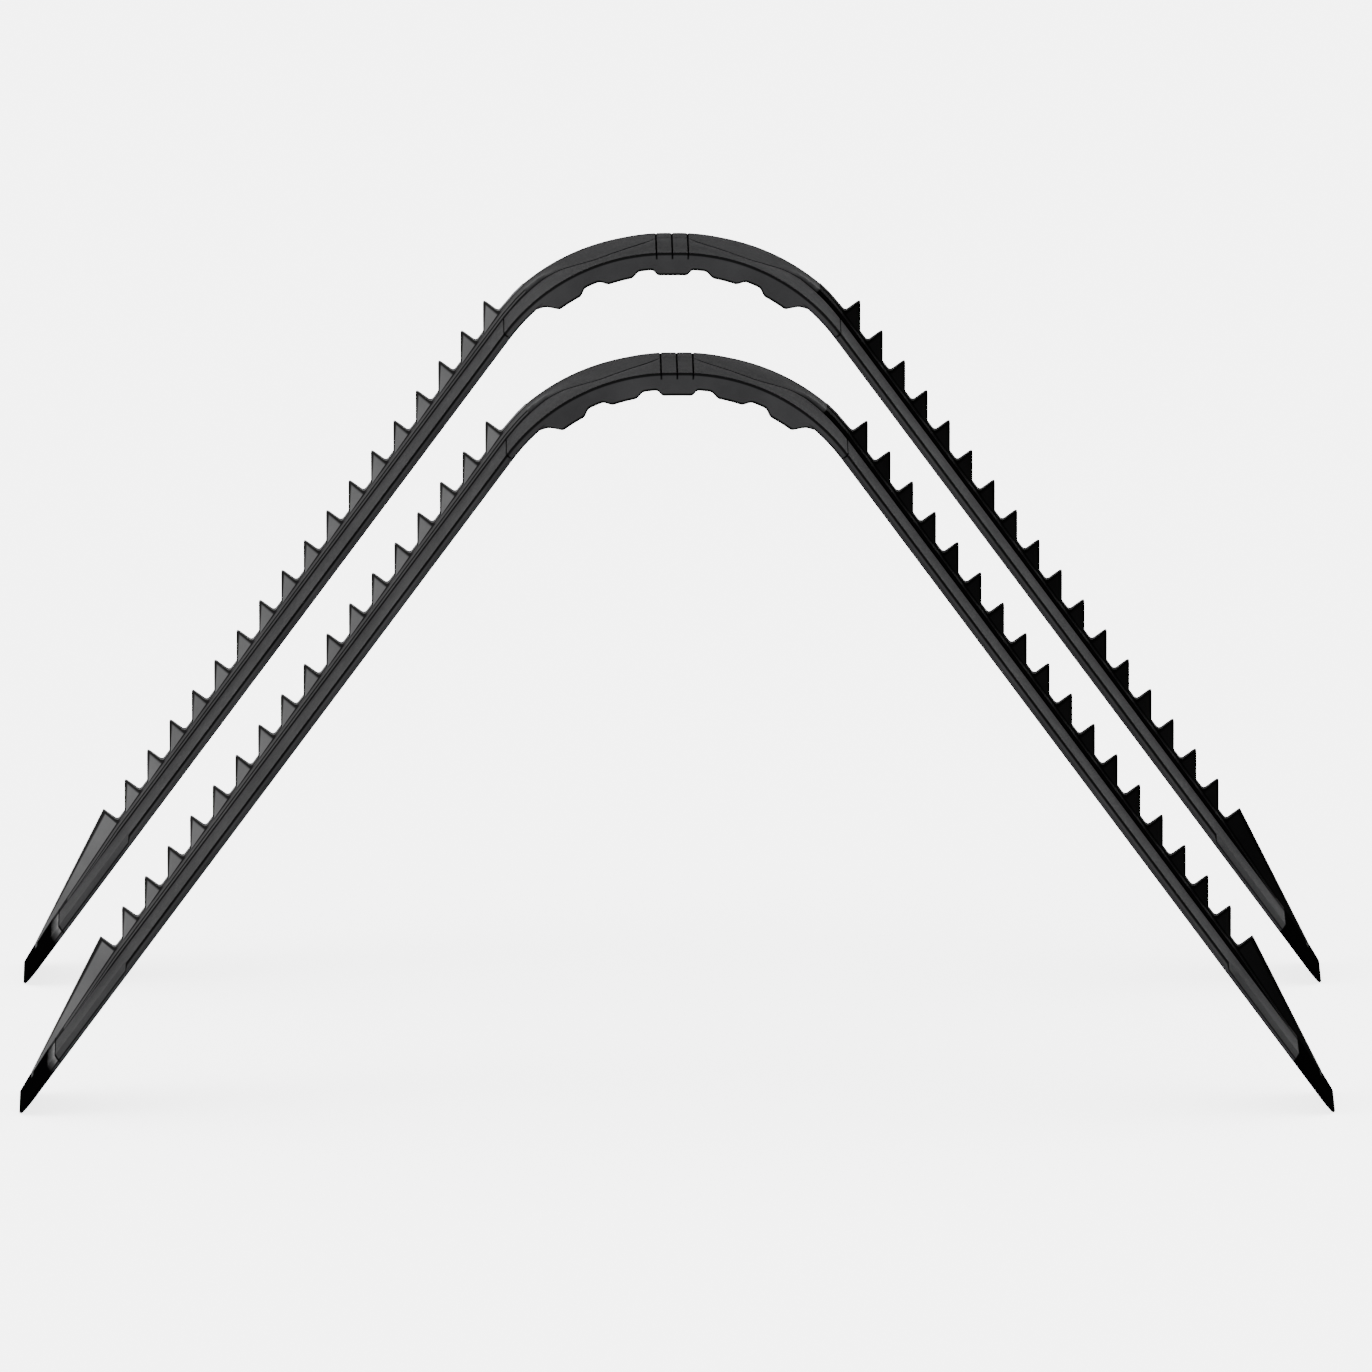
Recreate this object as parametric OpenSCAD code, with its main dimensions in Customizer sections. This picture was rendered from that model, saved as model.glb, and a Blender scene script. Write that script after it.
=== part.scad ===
// A pair of open-ended rubber tracks, each draped over a drive wheel in an upturned V.
// Each track is a moulded rubber belt with steel cords, drive lugs with steel cores under its
// crown, and a saw-toothed tread rib along one edge of both straight runs.
// Millimetres, +Z up, X along the tracks, Y across them. The run tips stand on Z = 0.

/* [Pair] */
// Distance between the centre lines of the two tracks
gauge = 1020; // [700:10:1600]

/* [Belt] */
// Width of one track
track_w = 180; // [175:5:260]
// Thickness of the belt, cover and liner together
belt_t = 9.2; // [9:0.2:14]
// Part of that thickness that is the outer cover of a run
cover_t = 5.8; // [5.8:0.1:6.4]
// Depth of the steel cords below the outer face
cord_depth = 4; // [3.8:0.1:4.2]
// Diameter of one steel cord bundle
cord_d = 3; // [2:0.1:3.4]
// Number of cord bundles side by side
cord_count = 5; // [2:1:6]

/* [Crown] */
// Radius of the outer face over the drive wheel
crown_r = 230.5; // [215:0.5:250]
// Length of the flat at the very top
crown_flat = 15; // [10:1:30]
// Angle from the flat to the first flex groove
first_groove = 6; // [5.5:0.1:7]
// Angle between two flex grooves, which is the drive pitch
link_angle = 17.5; // [17:0.1:18]
// Slope of the runs below the horizontal
run_angle = 53.4; // [52:0.1:60]
// Gap between the rigid lengths at a flex groove
flex_gap = 2; // [1.8:0.1:2.4]

/* [Drive lugs] */
// Depth of a lug's flat bottom below the outer face
lug_depth = 26; // [24:0.5:28]
// Depth of the flex grooves between the lugs
groove_depth = 19.5; // [18:0.5:21]
// Width of a lug's flat bottom
lug_bottom = 28.4; // [27:0.2:30]
// Length of a lug's steel core across the track
core_l = 150; // [100:1:160]

/* [Runs] */
// Length of one run from the end of the crown to its tip
run_l = 931; // [600:1:1300]
// Length of the curved feather at the tip
feather_l = 77; // [60:1:90]
// Length of the thinned near shoulder towards the tip
shoulder_l = 211; // [150:1:240]
// Radius of the near corner of the tip, seen from above the belt
corner_r = 28; // [10:1:40]

/* [Tread rib] */
// Width of the rib's low step
rib_w = 50; // [45:1:60]
// Height of the rib's low step
rib_step = 4.5; // [3:0.1:5]
// Height of the floor between two teeth
valley_h = 6.6; // [6:0.1:9]
// Height of a tooth's tip
tooth_h = 26.8; // [20:0.1:30]
// Distance from tooth to tooth
tooth_pitch = 43.05; // [40:0.05:60]
// Length of the long tapered end tooth
end_tooth_l = 195; // [170:1:260]

/* [Hidden] */
$fn = 96;
eps = 0.05;
over = 5;
clearance = 0.05;
outer_reach = 40;

pivot_r = crown_r - cord_depth;
belt_r = crown_r - belt_t;
lug_r = crown_r - lug_depth;
groove_r = crown_r - groove_depth;
half_flat = crown_flat / 2;

// The flex bead is the round rubber ligament that the belt bends on at a groove.
bead_r = 3.2;
bead_seat_r = bead_r + 0.3;

// Half angles of a lug at its flat bottom and at its root, seen from the crown's centre
lug_half = asin(lug_bottom / 2 / lug_r);
root_half = lug_half + 2.3;

core_t = 7;
core_w = 22;
core_r = (lug_r + belt_r) / 2;

cord_margin = 14;
cord_end = 95;
cord_step = (track_w - 2 * cord_margin - 24) / (cord_count - 1);

// The first tooth stands just past the end of the crown's curve; the end tooth is the last of the row.
first_tooth = 0.6;
tooth_count = floor((run_l - end_tooth_l - first_tooth) / tooth_pitch);
end_tooth = first_tooth + tooth_count * tooth_pitch;
tip_round = 1.9;
tip_centre = tooth_h - tip_round;
tooth_lean = (tip_centre + tip_round / tan(run_angle / 2) - valley_h) * tan(run_angle);
end_round = 2.2;
end_depth = belt_t - 1.6;
tooth_front = 22;
front_draft = 26;

// The feather is an arc that leaves the outer face at a slight crease at feather_s and falls
// feather_drop by the tip, where a round nose closes the belt.
nose_r = 1.65;
feather_s = run_l - feather_l;
feather_drop = belt_t - 2 * nose_r;
feather_crease = 2;
feather_r = (feather_l * feather_l + feather_drop * feather_drop)
    / (2 * (feather_drop * cos(feather_crease) - feather_l * sin(feather_crease)));
nose_s = run_l - nose_r;
nose_n = -(feather_drop + nose_r);

shoulder_w = 22;
shoulder_drop = 5.4;
shoulder_s = run_l - shoulder_l;

// Height of the crown's centre, which puts the nose of each tip on Z = 0
crown_z = nose_s * sin(run_angle) - (crown_r + nose_n) * cos(run_angle) + nose_r;

tracks = ["near", "far"];
sides = ["left", "right"];
links = [1, 2];

function groove(k) = first_groove + (k - 1) * link_angle;
function at(a, r) = [r * sin(a), r * cos(a)];
function cord_y(i) = cord_margin + 12 + i * cord_step;

// ---- placing ----

module in_track(t) {
    translate([0, (t == "near" ? -gauge / 2 : gauge / 2) - track_w / 2, crown_z]) children();
}

// Everything beside the crown is drawn for the right side, with the curve's centre at the origin.
module on_side(s) {
    mirror([s == "left" ? 1 : 0, 0, 0]) translate([half_flat, 0, 0]) children();
}

// Turns to a run's own frame: X along the run, Z outwards, the outer face at Z = crown_r.
module along_run() {
    rotate([0, run_angle, 0]) children();
}

// ---- shapes across the track ----

module across(w = track_w, y = 0) {
    translate([0, y + w, 0]) rotate([90, 0, 0]) linear_extrude(w) children();
}

module bar(r, w = track_w, y = 0) {
    translate([0, y + w, 0]) rotate([90, 0, 0]) cylinder(h = w, r = r);
}

module ring(r0, r1) {
    difference() {
        bar(r1);
        bar(r0, track_w + 2 * over, -over);
    }
}

module wedge(a0, a1, r) {
    across(track_w + 2 * over, -over) polygon([[0, 0], at(a0, r), at((a0 + a1) / 2, r * 1.1), at(a1, r)]);
}

module gap_at(a) {
    rotate([0, a, 0]) translate([-flex_gap / 2, -over, 0])
        cube([flex_gap, track_w + 2 * over, crown_r + outer_reach]);
}

module bead_at(a, r, over_w = 0) {
    rotate([0, a, 0]) translate([0, 0, pivot_r]) bar(r, track_w + 2 * over_w, -over_w);
}

// ---- crown: the flat top and its two short curves ----

module flat_or_curves(r) {
    for (m = [0, 1]) mirror([m, 0, 0]) translate([half_flat, 0, 0]) bar(r);
    translate([-half_flat, 0, 0]) cube([crown_flat, track_w, r]);
}

module crown_window() {
    edge = at(first_groove, crown_r + outer_reach);
    across(track_w + 2 * over, -over) polygon([
        [-half_flat, 0], [-half_flat - edge[0], edge[1]],
        [half_flat + edge[0], edge[1]], [half_flat, 0]
    ]);
}

module crown_gaps() {
    for (m = [0, 1]) mirror([m, 0, 0]) translate([half_flat, 0, 0]) gap_at(first_groove);
}

module crown_cord(grow) {
    reach = half_flat + 3;
    for (i = [0 : cord_count - 1])
        translate([-reach, cord_y(i), pivot_r]) rotate([0, 90, 0])
            cylinder(h = 2 * reach, d = cord_d + 2 * grow);
}

module crown_cover() {
    color("#3b3b3c") {
        difference() {
            intersection() {
                flat_or_curves(crown_r);
                crown_window();
            }
            translate([0, -over, 0]) scale([1, (track_w + 2 * over) / track_w, 1]) flat_or_curves(belt_r);
            crown_gaps();
            crown_cord(clearance);
        }
        for (m = [0, 1]) mirror([m, 0, 0]) translate([half_flat, 0, 0]) bead_at(first_groove, bead_r);
    }
}

module crown_cords() {
    color("#8d9096") crown_cord(0);
}

module crown_lug_outline() {
    wall = at(first_groove, groove_r);
    half_bottom = lug_bottom / 2 + 2.8;
    flank = half_bottom + (lug_depth - groove_depth) * 0.8;
    across() polygon([
        [-half_flat - wall[0], crown_r], [-half_flat - wall[0], wall[1]], [-flank, groove_r],
        [-half_bottom, lug_r], [half_bottom, lug_r],
        [flank, groove_r], [half_flat + wall[0], wall[1]], [half_flat + wall[0], crown_r]
    ]);
}

module crown_lug() {
    color("#343435") difference() {
        intersection() {
            crown_lug_outline();
            flat_or_curves(belt_r);
        }
        crown_gaps();
        core_bar(clearance);
    }
}

module crown_core() {
    color("#7f8287") core_bar(0);
}

// ---- links: the two rigid lengths between the grooves of one side ----

module core_bar(grow) {
    reach = (core_w - core_t) / 2;
    l = core_l + 2 * grow;
    y = (track_w - l) / 2;
    translate([-reach, y, core_r - core_t / 2 - grow]) cube([2 * reach, l, core_t + 2 * grow]);
    for (x = [-reach, reach]) translate([x, 0, core_r]) bar(core_t / 2 + grow, l, y);
}

module curved_cords(a0, a1, grow) {
    for (i = [0 : cord_count - 1])
        translate([0, cord_y(i), 0]) rotate([90, 0, 0]) rotate([0, 0, 90 - a1])
            rotate_extrude(angle = a1 - a0) translate([pivot_r, 0]) circle(d = cord_d + 2 * grow);
}

module link_cord(k, grow) {
    curved_cords(groove(k) + 2.2 - grow / 4, groove(k + 1) - 2.2 + grow / 4, grow);
}

module link_cover(k) {
    color("#3d3d3e") {
        difference() {
            intersection() {
                ring(belt_r, crown_r);
                wedge(groove(k), groove(k + 1), crown_r + outer_reach);
            }
            gap_at(groove(k));
            gap_at(groove(k + 1));
            bead_at(groove(k), bead_seat_r, over);
            link_cord(k, clearance);
        }
        bead_at(groove(k + 1), bead_r);
    }
}

module link_cords(k) {
    color("#8d9096") link_cord(k, 0);
}

// The second lug's outer flank runs straight out into the thin belt of the run.
module link_lug_outline(k) {
    mid = groove(k) + link_angle / 2;
    top_r = crown_r;
    far_flank = k == 1
        ? [at(mid + root_half, groove_r), at(groove(2), groove_r), at(groove(2), top_r)]
        : [at(mid + lug_half + 3.4, belt_r - 4), at(groove(3) - 0.6, belt_r), at(groove(3) - 0.6, top_r)];
    across() polygon(concat(
        [at(groove(k), top_r), at(groove(k), groove_r), at(mid - root_half, groove_r),
            at(mid - lug_half, lug_r), at(mid + lug_half, lug_r)],
        far_flank
    ));
}

module link_lug(k) {
    color("#363637") difference() {
        intersection() {
            link_lug_outline(k);
            bar(belt_r);
        }
        gap_at(groove(k));
        gap_at(groove(k + 1));
        rotate([0, groove(k) + link_angle / 2, 0]) core_bar(clearance);
    }
}

module link_core(k) {
    color("#7f8287") rotate([0, groove(k) + link_angle / 2, 0]) core_bar(0);
}

// ---- runs: the straight lengths, drawn in the run's own frame ----

// The belt of a run from depth n0 up to depth n1, with its feathered tip
module run_slab(n0, n1) {
    spare = n1 == 0 ? over : 0;
    translate([0, 0, crown_r + n0]) cube([feather_s, track_w, n1 - n0]);
    intersection() {
        translate([feather_s, 0, crown_r + n0]) cube([feather_l - nose_r, track_w, n1 - n0 + spare]);
        translate([feather_s - feather_r * sin(feather_crease), 0, crown_r - feather_r * cos(feather_crease)])
            bar(feather_r, $fn = 256);
    }
}

// The near shoulder is thinned towards the tip, so that the belt feathers out there too.
module shoulder_cut() {
    slope = atan(shoulder_drop / shoulder_w);
    translate([shoulder_s, shoulder_w, crown_r]) rotate([slope, 0, 0])
        translate([0, -shoulder_w * 2, 0]) cube([shoulder_l + over, shoulder_w * 2, 2 * over]);
}

// The near corner of the tip is rounded off.
module corner_cut() {
    translate([run_l - corner_r, 0, crown_r - 2 * belt_t]) difference() {
        translate([0, -over, 0]) cube([corner_r + over, corner_r + over, 3 * belt_t]);
        translate([0, corner_r, -over]) cylinder(h = 3 * belt_t + 2 * over, r = corner_r);
    }
}

module run_cord(grow) {
    for (i = [0 : cord_count - 1])
        translate([4 - grow, cord_y(i), pivot_r]) rotate([0, 90, 0])
            cylinder(h = run_l - cord_end - 4 + 2 * grow, d = cord_d + 2 * grow);
}

module run_cover() {
    start = groove(3) - run_angle;
    color("#404041") along_run() difference() {
        union() {
            run_slab(-cover_t, 0);
            intersection() {
                ring(belt_r, crown_r);
                wedge(start, 0, crown_r + outer_reach);
            }
        }
        gap_at(start);
        bead_at(start, bead_seat_r, over);
        shoulder_cut();
        corner_cut();
        run_cord(clearance);
    }
}

module run_liner() {
    color("#2f2f30") along_run() difference() {
        union() {
            translate([eps, 0, 0]) run_slab(-belt_t, -cover_t);
            translate([nose_s, 0, crown_r + nose_n]) bar(nose_r);
        }
        shoulder_cut();
        corner_cut();
        translate([0, -over, crown_r - cover_t]) cube([run_l + over, track_w + 2 * over, 2 * over]);
    }
}

module run_cords() {
    color("#8d9096") along_run() run_cord(0);
}

// A tooth stands square to the belt on the crown side, and its other side is plumb.
module tooth_outline(s) {
    turn = (180 - run_angle) / 6;
    polygon(concat(
        [[s, crown_r]],
        [for (k = [0 : 6]) [s + tip_round * (1 + cos(180 - k * turn)),
            crown_r + tip_centre + tip_round * sin(180 - k * turn)]],
        [[s + tooth_lean, crown_r + valley_h], [s + tooth_lean, crown_r]]
    ));
}

// The end tooth slopes down to the feathered tip.
module end_tooth_outline() {
    tip = crown_r + tooth_h;
    slope = (tooth_h + end_depth) / (run_l - end_tooth);
    last = run_l - feather_l / 2;
    polygon([[end_tooth, crown_r], [end_tooth, tip - end_round], [end_tooth + end_round, tip],
        [last, tip - slope * (last - end_tooth)], [last, crown_r - 4], [end_tooth, crown_r - 4]]);
}

module run_rib() {
    start = groove(3) + 2.4 - run_angle;
    bar_y = track_w - tooth_front;
    color("#464647") along_run() difference() {
        union() {
            translate([0, track_w - rib_w, crown_r]) cube([end_tooth + 2, rib_w, rib_step]);
            translate([0, bar_y, crown_r]) cube([end_tooth + 2, tooth_front, valley_h]);
            intersection() {
                ring(crown_r, crown_r + rib_step);
                wedge(start, 0, crown_r + outer_reach);
                translate([-crown_r, track_w - rib_w, 0]) cube([crown_r + over, rib_w, 2 * crown_r]);
            }
            across(tooth_front, bar_y) for (i = [0 : tooth_count - 1])
                tooth_outline(first_tooth + i * tooth_pitch);
            across(rib_w, track_w - rib_w) end_tooth_outline();
        }
        run_slab(-belt_t, 0);
        front_cut();
    }
}

// The teeth's near faces lean back from the low step, which is what is left in front of them.
module front_cut() {
    translate([-crown_r, track_w - tooth_front, crown_r + rib_step]) rotate([-front_draft, 0, 0])
        translate([0, -2 * rib_w, 0]) cube([crown_r + run_l + over, 2 * rib_w, 3 * rib_w]);
}

for (t = tracks) {
    in_track(t) crown_cover();
    in_track(t) crown_lug();
    in_track(t) crown_core();
    in_track(t) crown_cords();
    for (s = sides) {
        for (k = links) {
            link = str(t, "_", s, "_link_", k);
            in_track(t) on_side(s) link_cover(k);
            in_track(t) on_side(s) link_lug(k);
            in_track(t) on_side(s) link_core(k);
            in_track(t) on_side(s) link_cords(k);
        }
        run = str(t, "_", s, "_run");
        in_track(t) on_side(s) run_cover();
        in_track(t) on_side(s) run_liner();
        in_track(t) on_side(s) run_rib();
        in_track(t) on_side(s) run_cords();
    }
}
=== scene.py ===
import math

import bpy
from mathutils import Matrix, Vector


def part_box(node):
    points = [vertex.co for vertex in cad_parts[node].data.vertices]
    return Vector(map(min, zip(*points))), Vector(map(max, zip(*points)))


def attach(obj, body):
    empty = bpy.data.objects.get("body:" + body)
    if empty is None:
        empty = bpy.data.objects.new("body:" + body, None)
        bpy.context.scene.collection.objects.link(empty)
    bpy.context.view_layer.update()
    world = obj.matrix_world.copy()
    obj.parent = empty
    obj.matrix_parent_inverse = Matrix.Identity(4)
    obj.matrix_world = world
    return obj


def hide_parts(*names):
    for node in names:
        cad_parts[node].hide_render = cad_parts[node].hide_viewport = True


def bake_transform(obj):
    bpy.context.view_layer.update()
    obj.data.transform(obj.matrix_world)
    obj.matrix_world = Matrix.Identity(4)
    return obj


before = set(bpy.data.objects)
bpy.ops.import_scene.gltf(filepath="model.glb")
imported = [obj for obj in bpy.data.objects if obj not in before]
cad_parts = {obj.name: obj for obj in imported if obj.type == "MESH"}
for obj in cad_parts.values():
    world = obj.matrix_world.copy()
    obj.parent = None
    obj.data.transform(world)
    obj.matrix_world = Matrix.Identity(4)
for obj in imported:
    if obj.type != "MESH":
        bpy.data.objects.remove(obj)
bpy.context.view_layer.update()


# ---- steel cords ----
# Flat rows of brass-coated steel wire bundles carry the pull along the belt. They are laid
# between the outer cover and the lugs before the rubber is cured round them.

def new_finish(name):
    finish = bpy.data.materials.new(name)
    finish.use_nodes = True
    tree = finish.node_tree
    return finish, tree.nodes, tree.links, tree.nodes["Principled BSDF"]


def two_tones(nodes, links, source, low, high, dark, pale):
    ramp = nodes.new("ShaderNodeValToRGB")
    ramp.color_ramp.elements[0].position = low
    ramp.color_ramp.elements[1].position = high
    ramp.color_ramp.elements[0].color = (*dark, 1)
    ramp.color_ramp.elements[1].color = (*pale, 1)
    links.new(source, ramp.inputs["Fac"])
    return ramp.outputs["Color"]


def raised_grain(nodes, links, source, depth, strength, under=None):
    bump = nodes.new("ShaderNodeBump")
    bump.inputs["Distance"].default_value = depth
    bump.inputs["Strength"].default_value = strength
    links.new(source, bump.inputs["Height"])
    if under is not None:
        links.new(under, bump.inputs["Normal"])
    return bump.outputs["Normal"]


def twisted_wire():
    finish, nodes, links, shader = new_finish("brassed_steel_wire")
    place = nodes.new("ShaderNodeTexCoord")
    strands = nodes.new("ShaderNodeTexWave")
    strands.bands_direction = "DIAGONAL"
    strands.inputs["Scale"].default_value = 260
    strands.inputs["Distortion"].default_value = 0.4
    links.new(place.outputs["Object"], strands.inputs["Vector"])
    lay = strands.outputs["Fac"]
    tone = two_tones(nodes, links, lay, 0.2, 0.9, (0.16, 0.12, 0.07), (0.55, 0.46, 0.30))
    links.new(tone, shader.inputs["Base Color"])
    links.new(raised_grain(nodes, links, lay, 0.0006, 0.8), shader.inputs["Normal"])
    shader.inputs["Metallic"].default_value = 1.0
    shader.inputs["Roughness"].default_value = 0.38
    return finish


wire = twisted_wire()
for node_name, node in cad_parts.items():
    if node_name.endswith("_cords"):
        node.data.materials.clear()
        node.data.materials.append(wire)


# ---- lug cores ----
# A rounded bar of forged steel lies across the track inside each drive lug, so that the lug
# keeps its shape when the drive wheel pushes on it. Its mill scale is left on to hold the bond.

def forged_steel():
    finish, nodes, links, shader = new_finish("scaled_forged_steel")
    place = nodes.new("ShaderNodeTexCoord")
    scale_patches = nodes.new("ShaderNodeTexNoise")
    scale_patches.inputs["Scale"].default_value = 90
    scale_patches.inputs["Detail"].default_value = 6
    links.new(place.outputs["Object"], scale_patches.inputs["Vector"])
    scale = scale_patches.outputs["Fac"]
    tone = two_tones(nodes, links, scale, 0.35, 0.7, (0.07, 0.075, 0.085), (0.30, 0.28, 0.26))
    links.new(tone, shader.inputs["Base Color"])
    links.new(raised_grain(nodes, links, scale, 0.0004, 0.6), shader.inputs["Normal"])
    shader.inputs["Metallic"].default_value = 0.85
    shader.inputs["Roughness"].default_value = 0.52
    return finish


forging = forged_steel()
for node_name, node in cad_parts.items():
    if node_name.endswith("_core"):
        node.data.materials.clear()
        node.data.materials.append(forging)


# ---- belt over the drive wheel ----
# The outer belt is one moulding of hard black rubber, which bends at the thin places between
# the lugs. It has an almost flat top, a curve each side, and a far edge that thickens towards
# the toothed rib. Fine mould lines cross its top.

crown_radius = 230.5
half_flat = 7.5
bend_angle = math.radians(53.4)
bend_end = half_flat + bend_angle * crown_radius
track_width = 180
belt_thickness = 9.2
lug_middles = (14.75, 32.25)
rib_edge = 131
foot_begins = 2.4
rise_end = 43.4


def along(degrees):
    """Length along the outer face from the middle of the crown to an angle of the curve."""
    return half_flat + math.radians(degrees) * crown_radius


def on_belt(q, n):
    """A point q along the belt and n above its outer face, as across and up from the curve's centre."""
    reach = crown_radius + n
    if q <= half_flat:
        return q, reach
    turn = min((q - half_flat) / crown_radius, bend_angle)
    past = max(q - bend_end, 0)
    across = half_flat + reach * math.sin(turn) + past * math.cos(bend_angle)
    return across, reach * math.cos(turn) - past * math.sin(bend_angle)


def track_place(track):
    low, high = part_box(track + "_crown_cover")
    return (low.x + high.x) / 2, low.y, high.z - crown_radius / 1000


def smooth_table(rows, x):
    """A smooth curve through the rows (x, value), read at x."""
    if x <= rows[0][0]:
        return rows[0][1]
    for k in range(len(rows) - 1):
        (x0, v0), (x1, v1) = rows[k], rows[k + 1]
        if x <= x1:
            before = rows[max(k - 1, 0)]
            after = rows[min(k + 2, len(rows) - 1)]
            slope0 = (v1 - before[1]) / (x1 - before[0]) * (x1 - x0)
            slope1 = (after[1] - v0) / (after[0] - x0) * (x1 - x0)
            t = (x - x0) / (x1 - x0)
            return ((2 * t ** 3 - 3 * t * t + 1) * v0 + (t ** 3 - 2 * t * t + t) * slope0
                    + (3 * t * t - 2 * t ** 3) * v1 + (t ** 3 - t * t) * slope1)
    return rows[-1][1]


def rounded(corners, radius, steps=4):
    """The open line through the corners, with each inner corner rounded off."""
    line = [corners[0]]
    for before, corner, after in zip(corners, corners[1:], corners[2:]):
        back = (before[0] - corner[0], before[1] - corner[1])
        on = (after[0] - corner[0], after[1] - corner[1])
        cut = min(radius, math.hypot(*back) * 0.45, math.hypot(*on) * 0.45)
        start = [corner[i] + back[i] / math.hypot(*back) * cut for i in (0, 1)]
        end = [corner[i] + on[i] / math.hypot(*on) * cut for i in (0, 1)]
        for k in range(steps + 1):
            t = k / steps
            line.append(tuple((1 - t) ** 2 * start[i] + 2 * t * (1 - t) * corner[i] + t * t * end[i]
                              for i in (0, 1)))
    line.append(corners[-1])
    return line


def read_line(line, x):
    for (x0, v0), (x1, v1) in zip(line, line[1:]):
        if x0 <= x <= x1:
            return v0 if x1 - x0 < 1e-9 else v0 + (v1 - v0) * (x - x0) / (x1 - x0)
    return line[-1][1]


def moulding(name, track, side, rings, finish, crease=24):
    """Skins a row of closed rings. Each ring is a place along the belt and its points (y, n, mark).
    The marks carry wear, painted highlights and painted shade for the finish to read.
    """
    middle_x, near_y, centre_z = track_place(track)
    points = []
    wear_and_painted_light_values = []
    for q, ring in rings:
        for y, n, wear_and_painted_light in ring:
            across, up = on_belt(q, n)
            points.append((middle_x + side * across / 1000, near_y + y / 1000, centre_z + up / 1000))
            wear_and_painted_light_values.append(wear_and_painted_light)
    size = len(rings[0][1])
    faces = [list(range(size))[::side], list(range(len(points) - size, len(points)))[::-side]]
    for i in range(len(rings) - 1):
        for j in range(size):
            a, b = i * size + j, i * size + (j + 1) % size
            faces.append([a, a + size, b + size, b][::side])
    mesh = bpy.data.meshes.new(name)
    mesh.from_pydata(points, [], faces)
    mesh.validate()
    mesh.shade_smooth()
    mesh.set_sharp_from_angle(angle=math.radians(crease))
    wear_and_painted_light_layer = mesh.attributes.new("wear_and_painted_light", "FLOAT", "POINT")
    wear_and_painted_light_layer.data.foreach_set("value", wear_and_painted_light_values)
    mesh.materials.append(finish)
    piece = bpy.data.objects.new(name, mesh)
    bpy.context.scene.collection.objects.link(piece)
    return piece


def moulded_rubber(name, deep, bloom, scuff_and_highlight_tone, least_rough, most_rough):
    """Cured black rubber: clouded by wax bloom, finely grained by the mould, greyer where it is scuffed
    and where a painted highlight is laid (marks above 0), and near black with painted shade in the
    mould lines and along the edges (marks below 0)."""
    finish, nodes, links, shader = new_finish(name)
    place = nodes.new("ShaderNodeTexCoord")
    clouds = nodes.new("ShaderNodeTexNoise")
    clouds.inputs["Scale"].default_value = 9
    clouds.inputs["Detail"].default_value = 6
    clouds.inputs["Roughness"].default_value = 0.62
    links.new(place.outputs["Object"], clouds.inputs["Vector"])
    body_tone = two_tones(nodes, links, clouds.outputs["Fac"], 0.34, 0.68, deep, bloom)
    mottles = nodes.new("ShaderNodeTexNoise")
    mottles.inputs["Scale"].default_value = 130
    mottles.inputs["Detail"].default_value = 5
    links.new(place.outputs["Object"], mottles.inputs["Vector"])
    wear_and_painted_light = nodes.new("ShaderNodeAttribute")
    wear_and_painted_light.attribute_name = "wear_and_painted_light"
    patchy = nodes.new("ShaderNodeMath")
    patchy.operation = "MULTIPLY"
    patchy.use_clamp = True
    spread = nodes.new("ShaderNodeMapRange")
    spread.inputs["From Min"].default_value = 0.3
    spread.inputs["From Max"].default_value = 0.62
    spread.inputs["To Min"].default_value = 0.25
    links.new(mottles.outputs["Fac"], spread.inputs["Value"])
    links.new(wear_and_painted_light.outputs["Fac"], patchy.inputs[0])
    links.new(spread.outputs["Result"], patchy.inputs[1])
    # Marks above 0, broken up by the mottles, lighten the colour towards the scuff tone: scuffs and painted
    # highlights.
    scuff_and_highlight_mix = nodes.new("ShaderNodeMix")
    scuff_and_highlight_mix.data_type = "RGBA"
    scuff_and_highlight_mix.inputs[7].default_value = (*scuff_and_highlight_tone, 1)
    links.new(patchy.outputs["Value"], scuff_and_highlight_mix.inputs[0])
    links.new(body_tone, scuff_and_highlight_mix.inputs[6])
    # Marks below 0 blend the colour to near black and take the sheen away: painted shade.
    dark = nodes.new("ShaderNodeMath")
    dark.operation = "MULTIPLY"
    dark.use_clamp = True
    dark.inputs[1].default_value = -1
    links.new(wear_and_painted_light.outputs["Fac"], dark.inputs[0])
    painted_shade_mix = nodes.new("ShaderNodeMix")
    painted_shade_mix.data_type = "RGBA"
    painted_shade_mix.inputs[7].default_value = (0.0004, 0.0004, 0.0004, 1)
    links.new(dark.outputs["Value"], painted_shade_mix.inputs[0])
    links.new(scuff_and_highlight_mix.outputs[2], painted_shade_mix.inputs[6])
    links.new(painted_shade_mix.outputs[2], shader.inputs["Base Color"])
    sheen = nodes.new("ShaderNodeMapRange")
    sheen.inputs["To Min"].default_value = 0.008
    sheen.inputs["To Max"].default_value = 0.0
    links.new(dark.outputs["Value"], sheen.inputs["Value"])
    links.new(sheen.outputs["Result"], shader.inputs["Specular IOR Level"])
    dull = nodes.new("ShaderNodeMapRange")
    dull.inputs["To Min"].default_value = least_rough
    dull.inputs["To Max"].default_value = most_rough
    links.new(mottles.outputs["Fac"], dull.inputs["Value"])
    links.new(dull.outputs["Result"], shader.inputs["Roughness"])
    grain = nodes.new("ShaderNodeTexNoise")
    grain.inputs["Scale"].default_value = 1500
    grain.inputs["Detail"].default_value = 3
    links.new(place.outputs["Object"], grain.inputs["Vector"])
    coarse = raised_grain(nodes, links, mottles.outputs["Fac"], 0.0005, 0.25)
    fine = raised_grain(nodes, links, grain.outputs["Fac"], 0.00015, 0.5, coarse)
    links.new(fine, shader.inputs["Normal"])
    return finish


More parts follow.
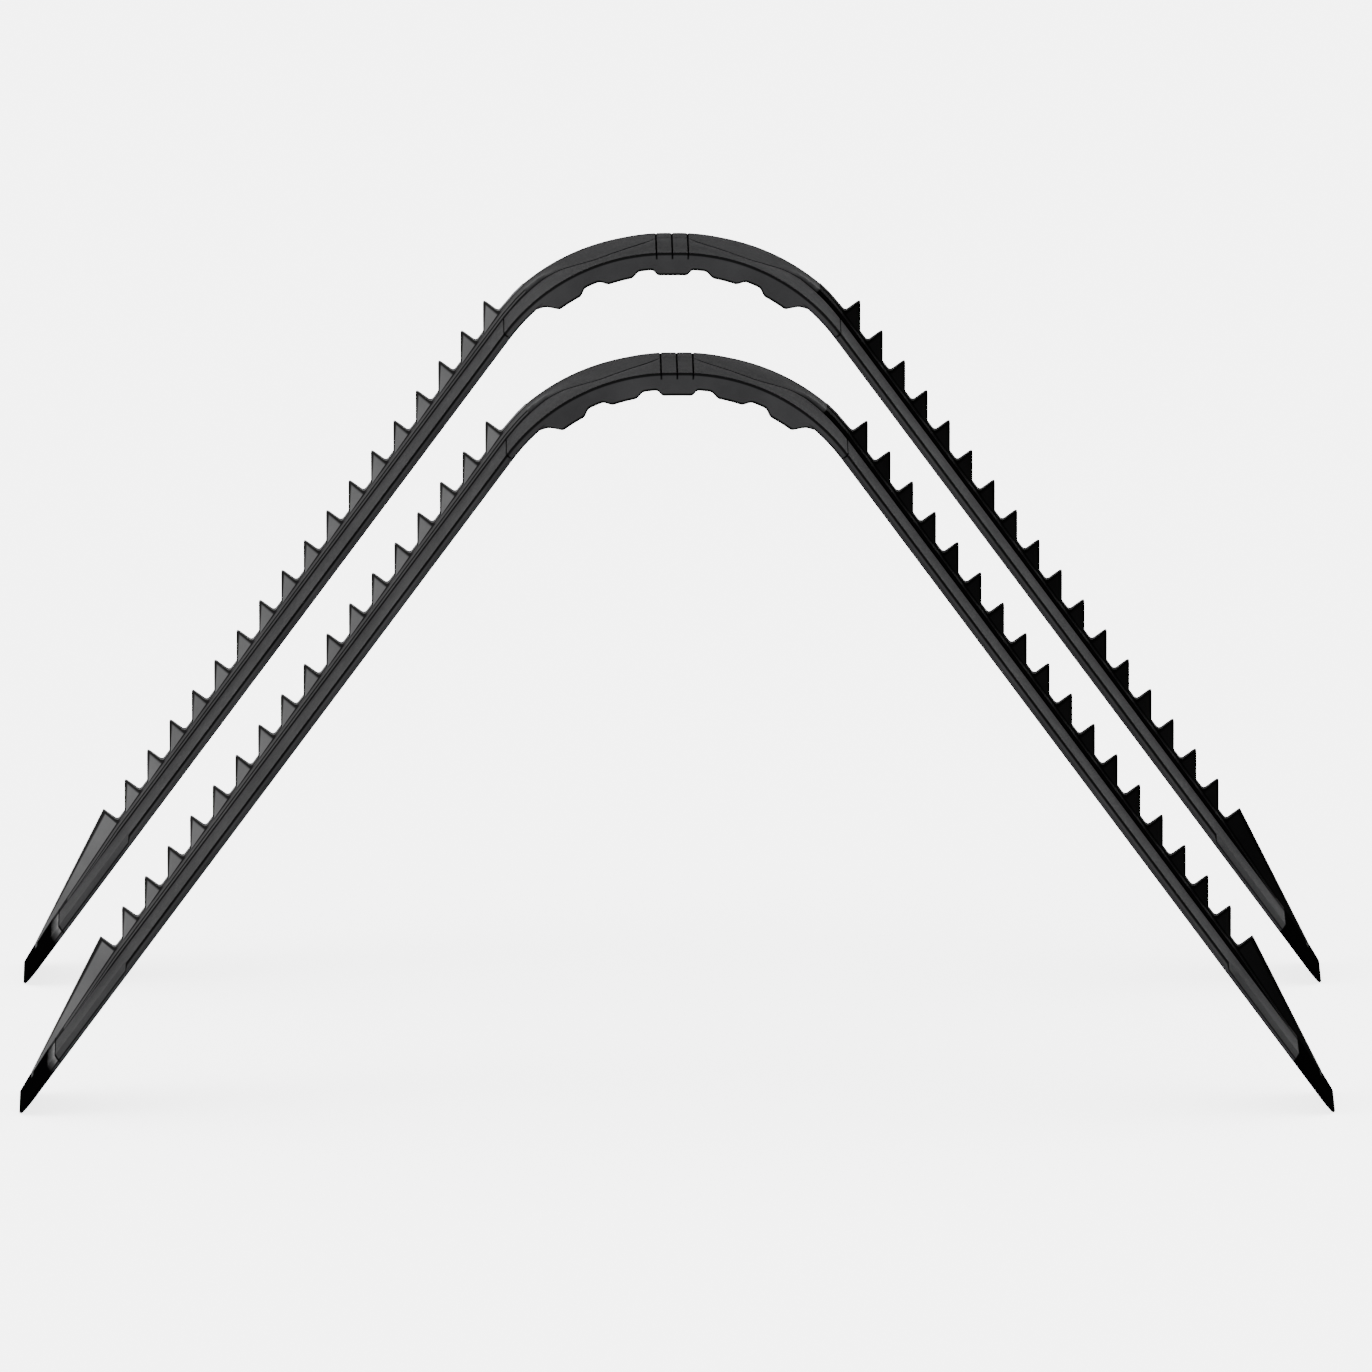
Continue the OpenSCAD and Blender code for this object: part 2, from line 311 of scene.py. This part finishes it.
def foot_line(degrees):
    """Where the thickened far edge starts to rise, as a distance from the near edge."""
    rows = ((0, 160), (foot_begins, 135), (6, 102), (10.9, 77), (16, 61), (20.6, 57), (26, 78),
            (31.3, 110), (37, rib_edge))
    return min(smooth_table(rows, degrees), rib_edge) if degrees > foot_begins else 135


def far_rise(degrees):
    return 7.1 * (max(degrees - 12, 0) / 35) ** 1.2


line_half = 1.2
line_foot = 0.7
line_depth = 0.9
# Strength of the painted shade, near black, laid along edges and in creases.
edge_black = 0.9
cross_lines = (0, 18.2, bend_end)


def on_line(q):
    """How far a place along the belt lies in one of the mould lines, from 0 beside it to 1 in it."""
    nearest = min(abs(q - line) for line in cross_lines)
    return min(max((line_half - nearest) / (line_half - line_foot), 0), 1)


def belt_ring(q):
    degrees = math.degrees((q - half_flat) / crown_radius)
    # Painted shade: the marks go near black in the mould lines, along the near and far top edges, at the foot
    # of the thickened far edge and under the near edge at the end of the curve.
    dark = on_line(q)
    line = dark * line_depth
    edge = -max(dark, 0.85)
    foot = foot_line(degrees)
    far = far_rise(degrees)
    fade = min(max((degrees - 2.2) / 3, 0), 1)
    wall = min(max((degrees - 29) / 9, 0), 1)
    slope_there = far * (rib_edge + 1 - foot) / (track_width - foot)
    step = slope_there + (4.5 * min(far / 6, 1) - slope_there) * wall
    if q > along(rise_end) + 0.01:
        far = step = 0
    low = -belt_thickness
    under = -edge_black * min(max((degrees - 39) / 2.5, 0), 1)
    foot_dark = -max(dark, edge_black * fade)
    bank = step * wall * 0.3
    return (q, [
        (0, -3.2 - line, -dark), (0, -2.3 - line, edge), (0, -1.1 - line, edge), (0.32, -0.32 - line, edge),
        (1.1, -line, edge), (3.2, -line, edge), (5, -line, -dark), (foot / 2, -line, -dark),
        (foot - 8.5, -line, -dark), (foot - 7, -0.2 * fade - line, foot_dark),
        (foot - 0.6, -0.8 * fade - line, foot_dark), (foot + 0.4, bank - line, -dark),
        (rib_edge + 1, step - line, max(0.4 * wall - dark, -1)),
        (157, step + (far - step) * 0.52 - line, -dark),
        (166, step + (far - step) * 0.76 - line, -dark), (168, step + (far - step) * 0.8 - line, edge),
        (178.5, far - 0.5 - line, edge), (track_width, far - 2.2 - line, edge), (track_width, far - 4, 0),
        (track_width, low, 0), (0, low, under), (0, low + 1.6, under), (0, low + 2.4, -dark),
    ])


def places_between(q0, q1, breaks, step):
    """Places along the belt from q0 to q1, no further apart than a step and with every break among them."""
    inner = sorted(b for b in set(breaks) if q0 + 0.05 < b < q1 - 0.05)
    places = []
    for start, end in zip([q0, *inner], [*inner, q1]):
        count = max(1, math.ceil((end - start) / step))
        places += [start + (end - start) * k / count for k in range(count)]
    return places + [q1]


belt_rubber = moulded_rubber("hard_black_belt_rubber", (0.0082, 0.0082, 0.0085), (0.0124, 0.0124, 0.0128),
                             (0.060, 0.060, 0.060), 0.7, 0.9)
line_breaks = [line + reach for line in cross_lines
               for reach in (-line_half, -line_foot, line_foot, line_half)]
bend_places = [0, along(lug_middles[0]), along(lug_middles[1]), bend_end]


def bend_bodies(track, side_name):
    return [track + "_crown", f"{track}_{side_name}_link_1", f"{track}_{side_name}_link_2",
            f"{track}_{side_name}_run"]


def across_groove(piece):
    """Bakes the piece's placement into its mesh."""
    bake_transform(piece)


for track in ("near", "far"):
    for side_name, side in (("left", -1), ("right", 1)):
        bodies = bend_bodies(track, side_name)
        for k in range(3):
            breaks = [*line_breaks, along(rise_end), along(rise_end) + 0.06]
            rings = [belt_ring(q) for q in places_between(bend_places[k], bend_places[k + 1], breaks, 3)]
            belt = moulding(f"{track}_{side_name}_belt_bend_{k + 1}", track, side, rings, belt_rubber)
            across_groove(belt)
            covers = [body + "_cover" for body in bodies[k:k + 2] if not body.endswith("_run")]
            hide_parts(*covers)


# ---- drive lugs ----
# Blocks of tougher rubber are moulded across the inside of the belt, over the steel cores.
# The drive wheel's teeth enter the hollows between them. The last lug on each side thins out
# into the straight run in a cove.

lug_depth = 26
hollow_depth = 19.5
lug_half = 3.98
flank = 2.3


def lug_line():
    corners = [(-30, lug_depth), (18.2, lug_depth), (23.6, hollow_depth)]
    for middle in lug_middles:
        corners += [(along(middle - lug_half - flank), hollow_depth), (along(middle - lug_half), lug_depth),
                    (along(middle + lug_half), lug_depth)]
        if middle == lug_middles[0]:
            corners.append((along(middle + lug_half + flank), hollow_depth))
    corners += [(along(39.2), 13.6), (along(41.6), belt_thickness + 0.05),
                (bend_end, belt_thickness + 0.05)]
    return rounded(corners, 3.2)


lug_profile = lug_line()
lug_rubber = moulded_rubber("tough_lug_rubber", (0.0080, 0.0080, 0.0083), (0.0120, 0.0120, 0.0124),
                            (0.030, 0.030, 0.030), 0.6, 0.8)


def lug_ring(q):
    depth = read_line(lug_profile, q)
    soft = min(1.0, (depth - belt_thickness) * 0.45)
    wear_and_painted_light = min(max((depth - 21) / 5, 0), 1)
    low = -depth
    edge_top = low + min(3.0, (depth - belt_thickness) * 0.8)
    edge_low = low + min(2.4, (depth - belt_thickness) * 0.6)
    # Painted shade, near black, runs along the lugs' lower corners; the lug faces that meet the drive wheel
    # are scuffed lighter.
    return (q, [
        (0, -belt_thickness, 0), (track_width, -belt_thickness, 0), (track_width, edge_top, 0),
        (track_width, edge_low, -edge_black), (track_width, low + min(soft, 0.9), -edge_black),
        (track_width - 0.3 * soft, low + 0.3 * soft, -edge_black), (track_width - soft, low, -0.6),
        (176, low, wear_and_painted_light * 0.3), (135, low, wear_and_painted_light * 0.15), (90, low, wear_and_painted_light * 0.25), (45, low, wear_and_painted_light * 0.15),
        (4, low, wear_and_painted_light * 0.3), (soft, low, -0.6), (0.3 * soft, low + 0.3 * soft, -edge_black),
        (0, low + min(soft, 0.9), -edge_black), (0, edge_low, -edge_black), (0, edge_top, 0),
    ])


for track in ("near", "far"):
    for side_name, side in (("left", -1), ("right", 1)):
        bodies = bend_bodies(track, side_name)
        lug_places = [*bend_places[:3], along(41.5)]
        for k in range(3):
            breaks = [q for q, depth in lug_profile]
            rings = [lug_ring(q) for q in places_between(lug_places[k], lug_places[k + 1], breaks, 4)]
            lugs = moulding(f"{track}_{side_name}_lug_bend_{k + 1}", track, side, rings, lug_rubber)
            across_groove(lugs)
            blocks = [body + "_lug" for body in bodies[k:k + 2] if not body.endswith("_run")]
            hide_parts(*blocks)


# ---- outer covers of the straight runs ----
# The hard outer cover carries on straight down each side. Its near shoulder is thinned for the
# last stretch, behind a plumb step, and the whole face is feathered off in a curve at the tip.

run_length = 931
cover_thickness = 5.8
feather_length = 77
nose_radius = 1.65
feather_crease = math.radians(2)
feather_start = run_length - feather_length
feather_drop = belt_thickness - 2 * nose_radius
feather_radius = (feather_length ** 2 + feather_drop ** 2) / (
    2 * (feather_drop * math.cos(feather_crease) - feather_length * math.sin(feather_crease)))
shoulder_start = 720
shoulder_width = 22
shoulder_drop = 5.4
step_length = shoulder_drop * math.tan(bend_angle)
nose_place = run_length - nose_radius
nose_depth = feather_drop + nose_radius
corner_radius = 28


def outer_face(s):
    """Height of the outer face at a distance s down the run, which falls away in the feather."""
    if s <= feather_start:
        return 0.0
    if s >= nose_place:
        return math.sqrt(max(nose_radius ** 2 - (s - nose_place) ** 2, 0)) - nose_depth
    past = s - feather_start + feather_radius * math.sin(feather_crease)
    face = math.sqrt(feather_radius ** 2 - past ** 2) - feather_radius * math.cos(feather_crease)
    return max(face, -feather_drop)


def shoulder_cut(s, y):
    share = min(max((s - shoulder_start) / step_length, 0), 1)
    return shoulder_drop * share * max(shoulder_width - y, 0) / shoulder_width


def tip_shade(s, side):
    """Mark of the tip: a painted dark line on the crease and painted shade, near black, past it. On the
    left runs a painted highlight lies just past the crease and fades into that shade.
    """
    past = s - feather_start
    if abs(past) < 0.8:
        return -1.0
    if past < 0:
        return 0.0
    return max(1 - past / 8, -1) if side < 0 else -1.0


def layer_ring(s, side, low, high, top_edge, low_edge):
    """One ring of a layer of the run, from low up to the outer face or to high, whichever is lower."""
    def face(y):
        return min(outer_face(s) - shoulder_cut(s, y), high)

    bottom = low
    if s > nose_place:
        bottom = max(low, -nose_depth - math.sqrt(max(nose_radius ** 2 - (s - nose_place) ** 2, 0)))
    past_corner = max(s - run_length + corner_radius, 0)
    near = corner_radius - math.sqrt(corner_radius ** 2 - past_corner ** 2)
    while near < shoulder_width and face(near) < bottom + 0.04:
        near += 0.25
    thick = max(face(track_width) - bottom, 0.0)
    near_thick = max(face(near) - bottom, 0.0)
    soft = min(1.0, near_thick * 0.3)
    far_soft = min(1.0, thick * 0.3)
    ease = min(0.5, near_thick * 0.2)
    inner = max(shoulder_width, near + soft + 4.5)
    # Marks: the tip's painted shade and highlight, and painted shade along the top and bottom edges and at
    # the rib's foot, as strong as top_edge and low_edge say.
    tip_light_paint = tip_shade(s, side)
    edge = min(tip_light_paint, top_edge)
    under = min(tip_light_paint, low_edge)
    edge_drop = min(2.3, near_thick * 0.35)
    return (bend_end + s, [
        (near, face(near) - 1.4 * edge_drop - 0.01, tip_light_paint), (near, face(near) - edge_drop - 0.005, edge),
        (near, face(near) - soft, edge), (near + 0.3 * soft, face(near + 0.3 * soft) - 0.3 * soft, edge),
        (near + soft, face(near + soft), edge), (near + soft + 2, face(near + soft + 2), edge),
        (near + soft + 4, face(near + soft + 4), tip_light_paint), (inner, face(inner), tip_light_paint),
        (inner + 2, face(inner + 2), tip_light_paint), (80, face(80), tip_light_paint),
        (rib_edge - 5, face(rib_edge - 5), tip_light_paint),
        (rib_edge - 3, face(rib_edge - 3), edge), (rib_edge, face(rib_edge), edge),
        (track_width - far_soft, face(track_width), tip_light_paint),
        (track_width - 0.3 * far_soft, face(track_width) - 0.3 * far_soft, edge),
        (track_width, face(track_width) - far_soft, tip_light_paint),
        (track_width, bottom + ease, under), (track_width - ease, bottom, under), (175, bottom, tip_light_paint),
        (near + ease + 3, bottom, tip_light_paint), (near + ease, bottom, under), (near, bottom + ease, under),
        (near, bottom + max(ease, 0.34 * near_thick), under),
        (near, bottom + max(ease, 0.44 * near_thick), tip_light_paint),
    ])


crease_breaks = [feather_start + reach for reach in (-1.3, -0.7, 0.7, 1.3)]
cover_end = feather_start
while outer_face(cover_end) > 0.1 - cover_thickness:
    cover_end += 0.5
for track in ("near", "far"):
    for side_name, side in (("left", -1), ("right", 1)):
        body = f"{track}_{side_name}_run"
        breaks = [line_foot, line_half, shoulder_start, shoulder_start + step_length, feather_start]
        places = places_between(0, shoulder_start, breaks, 40)
        places += places_between(shoulder_start, feather_start, [*breaks, *crease_breaks], 12)[1:]
        places += places_between(feather_start, cover_end, crease_breaks, 3)[1:]
        rings = [layer_ring(s, side, -cover_thickness, 99, -edge_black, 0) for s in places]
        # The first two rings sink into the mould line at the end of the curve and take painted shade, near
        # black.
        for k in (0, 1):
            q, ring = rings[k]
            rings[k] = (q, [(y, n - line_depth if n > -4 else n, -1) for y, n, wear_and_painted_light in ring])
        cover = moulding(f"{track}_{side_name}_cover_band", track, side, rings, belt_rubber)
        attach(cover, body)
        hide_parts(body + "_cover")


# ---- liners of the straight runs ----
# A softer, smooth liner is cured to the inside of each run and slides on the track's wheels.
# It wraps round the end of the belt as a blunt nose, so that the tip is all rubber.

liner_rubber = moulded_rubber("smooth_liner_rubber", (0.0076, 0.0076, 0.0079), (0.0116, 0.0116, 0.0120),
                              (0.026, 0.026, 0.026), 0.55, 0.75)
for track in ("near", "far"):
    for side_name, side in (("left", -1), ("right", 1)):
        body = f"{track}_{side_name}_run"
        breaks = [shoulder_start, shoulder_start + step_length, *crease_breaks]
        places = places_between(0, feather_start, breaks, 30)
        places += places_between(feather_start, nose_place, crease_breaks, 3)[1:]
        places += [nose_place + nose_radius * math.sin(math.radians(turn)) for turn in (20, 40, 60, 75, 86)]
        rings = [layer_ring(s, side, -belt_thickness, -cover_thickness, 0, -edge_black) for s in places]
        liner = moulding(f"{track}_{side_name}_liner_band", track, side, rings, liner_rubber)
        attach(liner, body)
        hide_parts(body + "_liner")


# ---- toothed ribs ----
# The tread is a rib moulded along the far edge of each run: a low step, and behind it a bar of
# saw teeth whose near faces lean back. Each tooth stands square to the belt on the crown side
# and plumb on the other. The last tooth is long and slopes down into the feathered tip. The left
# ribs are a lighter grey and the right ones almost black: painted light and painted shade, as if
# lit from the left.

step_height = 4.5
bar_front = 158
front_lean = math.tan(math.radians(26))
valley_height = 6.6
tooth_height = 26.8
tooth_apex = 28.7
tooth_pitch = 43.05
flank_middle = 16
first_tooth = 0.6
tooth_count = 17
last_tooth = first_tooth + tooth_count * tooth_pitch
end_slope = (tooth_height + belt_thickness - 1.6) / (run_length - last_tooth)
rib_start = along(rise_end) - bend_end
tooth_back = (tooth_apex - valley_height) * math.tan(bend_angle)


def rib_line():
    """The rib's side view as (distance down the run, height), each corner rounded as it is moulded."""
    line = [(rib_start, far_rise(rise_end)), (rib_start + 14, 6.5)]
    for i in range(tooth_count + 1):
        foot = first_tooth + i * tooth_pitch
        line += rounded([(foot - 9, valley_height), (foot, valley_height),
                         (foot + 0.3, flank_middle)], 4.2)[1:-1]
        if i < tooth_count:
            line += rounded([(foot + 0.3, flank_middle), (foot + 0.3, tooth_apex),
                             (foot + tooth_back, valley_height),
                             (foot + tooth_back + 3, valley_height)], 5.1, 6)[1:-1]
    sloped = run_length - 27
    line += rounded([(last_tooth + 0.3, flank_middle), (last_tooth + 0.3, tooth_height),
                     (last_tooth + 3, tooth_height - 0.4),
                     (sloped, tooth_height - end_slope * (sloped - last_tooth))], 2.4)[1:]
    return line


def rib_ring(s, height):
    base = outer_face(s)
    past_foot = min(abs(s - first_tooth - 0.3 - i * tooth_pitch) for i in range(tooth_count + 1))
    flank_edge = -edge_black * min(max(3.2 - past_foot, 0), 1)
    step = min(step_height, height)
    settle = min(max((-s - 8) / 30, 0), 1)
    middle = step + (height - step) * 0.5 * settle
    crest = max(height, step + 0.02)
    lean = max(crest - step_height, 0) * front_lean
    soft = min(0.9, max(crest - step, 0.05) * 0.3, max(step - base, 0.05) * 0.4)
    tip = min(max((height - 17) / 7, 0), 1)
    face_height = max(crest - step, 0.02)

    def on_front(height_share, wear_and_painted_light):
        rise = middle + (crest - 1.2 * soft - middle) * height_share
        lowest = middle + 0.05 + 0.05 * height_share
        return (bar_front - 0.5 + (lean + 0.5) * height_share, max(rise, lowest), wear_and_painted_light)

    foot_share = min(1.3 / face_height, 0.25)
    edge_share = 1 - min(2.2 / face_height, 0.4)
    # Painted shade, near black, covers the rib's foot, the low step (its wall a little less dark), the
    # teeth's front corners, the front face near each tooth foot and the back edge; the tooth crests are
    # scuffed lighter.
    return (bend_end + s, [
        (rib_edge - 0.6, base - 0.4, -edge_black), (rib_edge - 0.6, base + (step - base) * 0.24, -edge_black),
        (rib_edge - 0.6, base + (step - base) * 0.4, -0.3),
        (rib_edge - 0.6, base + (step - base) * 0.6, -0.3),
        (rib_edge - 0.6, base + (step - base) * 0.76, -edge_black),
        (rib_edge - 0.3, step - 0.3 * soft, -edge_black), (rib_edge + 0.4, step, -0.6),
        (bar_front - 2.2, middle, -0.6), (bar_front - 0.6, middle + 0.05, -edge_black),
        on_front(foot_share, -edge_black), on_front(foot_share * 1.5, flank_edge),
        on_front(edge_share * 0.9, flank_edge),
        on_front(edge_share, -edge_black), on_front(1, -edge_black),
        (bar_front + lean + 0.35 * soft, crest - 0.25 * soft, -edge_black),
        (bar_front + lean + 1.3 * soft, crest, 0.7 * tip), (track_width - soft, crest, 0.7 * tip),
        (track_width - 0.3 * soft, crest - 0.3 * soft, -0.85), (track_width, crest - soft, -0.6),
        (track_width, crest - soft - 0.1 * face_height, 0), (track_width, base - 0.4, 0),
    ])


# One tread rubber in a lit and a shaded copy: the lighter one is painted light for the left ribs, the
# near-black one painted shade for the right ribs.
lit_side_tread = moulded_rubber("painted_lit_tread_rubber", (0.036, 0.036, 0.0365), (0.049, 0.049, 0.0495),
                            (0.085, 0.085, 0.085), 0.6, 0.85)
shaded_side_tread = moulded_rubber("painted_shaded_tread_rubber", (0.0006, 0.0006, 0.0006), (0.0012, 0.0012, 0.0012),
                             (0.003, 0.003, 0.003), 0.5, 0.8)
rib_profile = rib_line()
for track in ("near", "far"):
    for side_name, side in (("left", -1), ("right", 1)):
        body = f"{track}_{side_name}_run"
        rings = [rib_ring(s, height) for s, height in rib_profile]
        # Left ribs take the painted-light copy, right ribs the painted-shade copy.
        tread = lit_side_tread if side < 0 else shaded_side_tread
        rib = moulding(f"{track}_{side_name}_toothed_rib", track, side, rings, tread)
        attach(rib, body)
        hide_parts(body + "_rib")


# ---- floor ----
# A plain pale studio floor, lit softly from below and large enough to fill the view behind
# the tracks.

def matt_floor():
    finish, nodes, links, shader = new_finish("matt_floor_paint")
    place = nodes.new("ShaderNodeTexCoord")
    roller = nodes.new("ShaderNodeTexNoise")
    roller.inputs["Scale"].default_value = 0.6
    links.new(place.outputs["Object"], roller.inputs["Vector"])
    tone = two_tones(nodes, links, roller.outputs["Fac"], 0.3, 0.7, (0.86, 0.86, 0.86), (0.88, 0.88, 0.88))
    links.new(tone, shader.inputs["Base Color"])
    shader.inputs["Roughness"].default_value = 0.9
    shader.inputs["Specular IOR Level"].default_value = 0.1
    shader.inputs["Emission Color"].default_value = (1, 1, 1, 1)
    shader.inputs["Emission Strength"].default_value = 3.0
    return finish


bpy.ops.mesh.primitive_plane_add(size=240, location=(0, 0, -0.0005))
floor = bpy.context.object
floor.name = "studio_floor"
floor.data.materials.append(matt_floor())


# ---- light and camera ----
# Even light from all round and a broad soft key from the left. The camera is far away with a
# long lens, a little above the tracks and square to them.

world = bpy.data.worlds.new("studio")
world.use_nodes = True
world.node_tree.nodes["Background"].inputs["Color"].default_value = (1, 1, 1, 1)
world.node_tree.nodes["Background"].inputs["Strength"].default_value = 3.0
bpy.context.scene.world = world


def soft_sun(name, strength, toward, spread):
    lamp = bpy.data.lights.new(name, "SUN")
    lamp.energy = strength
    lamp.angle = math.radians(spread)
    light = bpy.data.objects.new(name, lamp)
    bpy.context.scene.collection.objects.link(light)
    light.rotation_mode = "QUATERNION"
    light.rotation_quaternion = Vector(toward).to_track_quat("Z", "Y")


soft_sun("key", 3.0, (-0.80, -0.42, 0.42), 40)

view_up = math.radians(8.0)
view_turn = math.radians(0.32)
lens = 1700
view_width = 1.5586
aim = Vector((0.0131, 0.0, 0.4052))
camera_data = bpy.data.cameras.new("camera")
camera_data.lens = lens
camera_data.sensor_width = 36
camera_data.clip_end = 400
back = Vector((-math.sin(view_turn) * math.cos(view_up), -math.cos(view_turn) * math.cos(view_up),
                  math.sin(view_up)))
camera = bpy.data.objects.new("camera", camera_data)
camera.location = aim + back * view_width * lens / 36
camera.rotation_mode = "QUATERNION"
camera.rotation_quaternion = (-back).to_track_quat("-Z", "Y")
bpy.context.scene.collection.objects.link(camera)
bpy.context.scene.camera = camera
